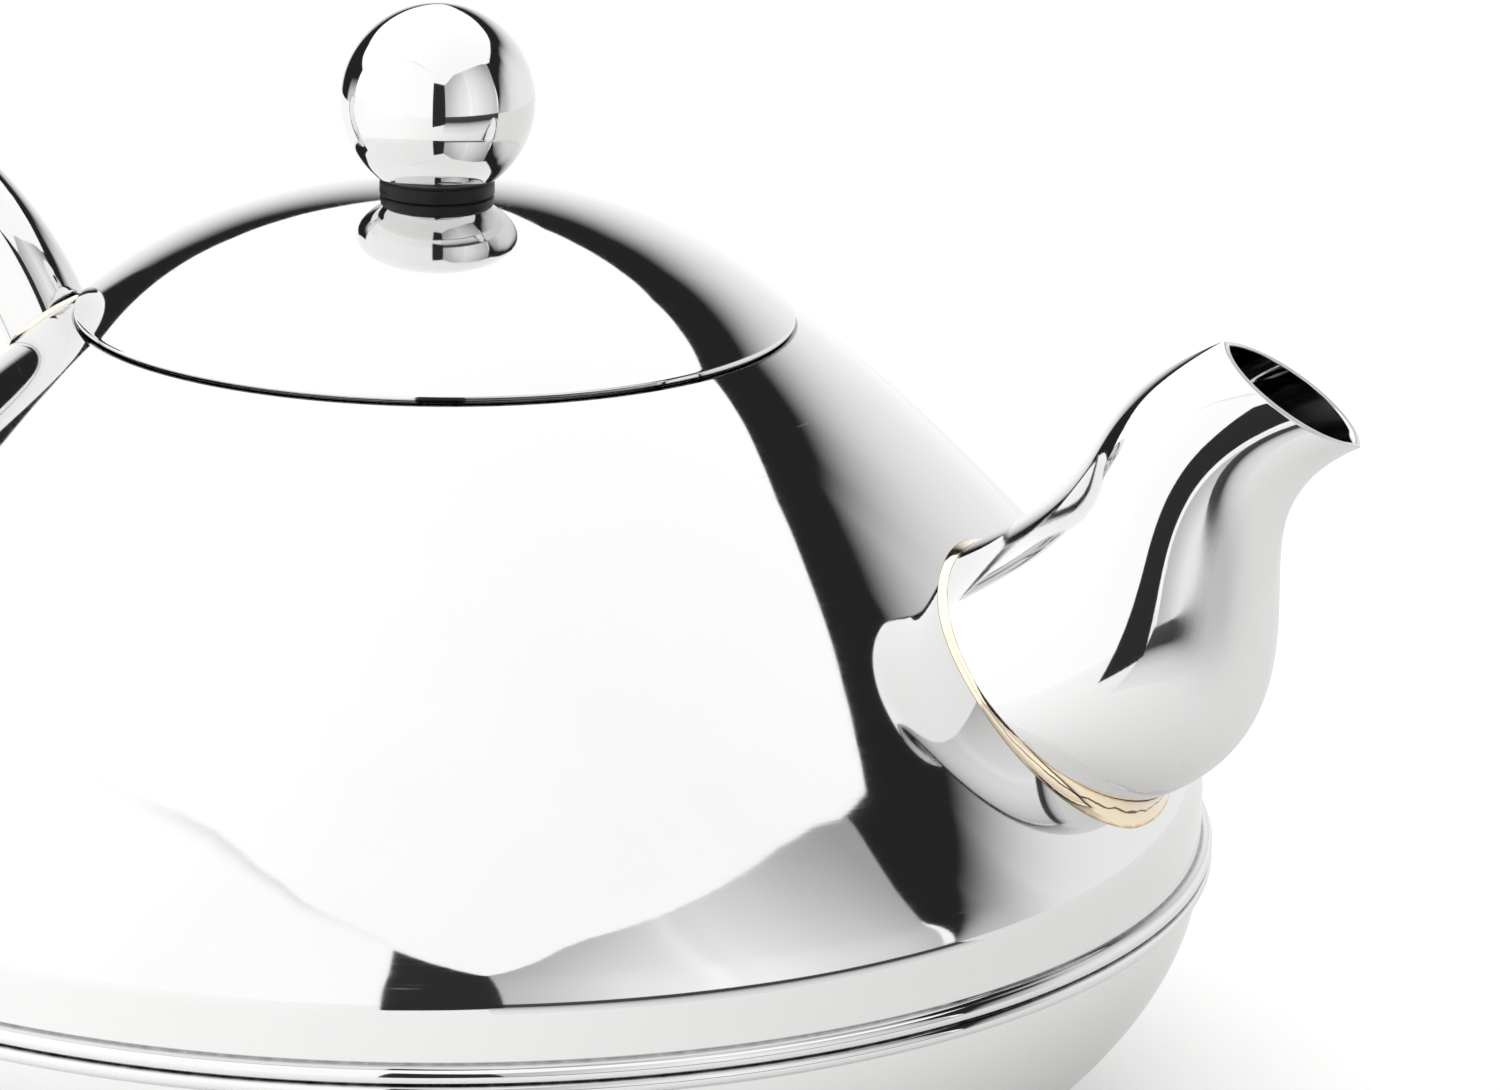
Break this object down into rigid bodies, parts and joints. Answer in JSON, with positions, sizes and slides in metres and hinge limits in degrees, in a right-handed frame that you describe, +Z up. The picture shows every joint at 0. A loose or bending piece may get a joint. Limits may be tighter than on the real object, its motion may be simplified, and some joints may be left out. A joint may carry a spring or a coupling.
{
  "type": "round teapot",
  "caption": "Round polished-steel teapot with a waist bead, swan-neck spout, tubular side handle and a lift-off lid with a ball knob.",
  "frame": {"origin": "centre of the base ring, in the plane of the table", "axes": "+Z up through the knob, +X towards the spout, handle towards -X"},
  "size_m": [0.2082, 0.16, 0.1163],
  "materials": {
    "body_steel": "mirror polished stainless steel",
    "bowl_steel": "mirror polished stainless steel",
    "spout_steel": "mirror polished stainless steel",
    "handle_steel": "mirror polished stainless steel",
    "lid_steel": "mirror polished stainless steel",
    "knob_steel": "mirror polished stainless steel",
    "inner_steel": "plain drawn stainless steel",
    "braze": "uneven gold-coloured brazing filler",
    "washer_black": "matt black heat-resistant washer"
  },
  "bodies": {
    "pot": {"upper_shell": "body_steel", "lower_shell": "bowl_steel", "spout_left_half": "spout_steel", "spout_right_half": "spout_steel", "spout_braze": "braze", "handle_tube": "handle_steel", "handle_top_braze": "braze", "handle_bottom_braze": "braze"},
    "lid": {"lid_shell": "lid_steel", "lid_ring": "inner_steel", "knob_ball": "knob_steel", "knob_bush": "inner_steel", "knob_washer": "washer_black", "knob_screw": "inner_steel", "knob_plate_washer": "inner_steel"}
  },
  "joints": [
    {"name": "lid_lift", "type": "slide", "parent": "pot", "child": "lid", "axis": [0, 0, 1], "range_m": [0, 0.04]}
  ]
}
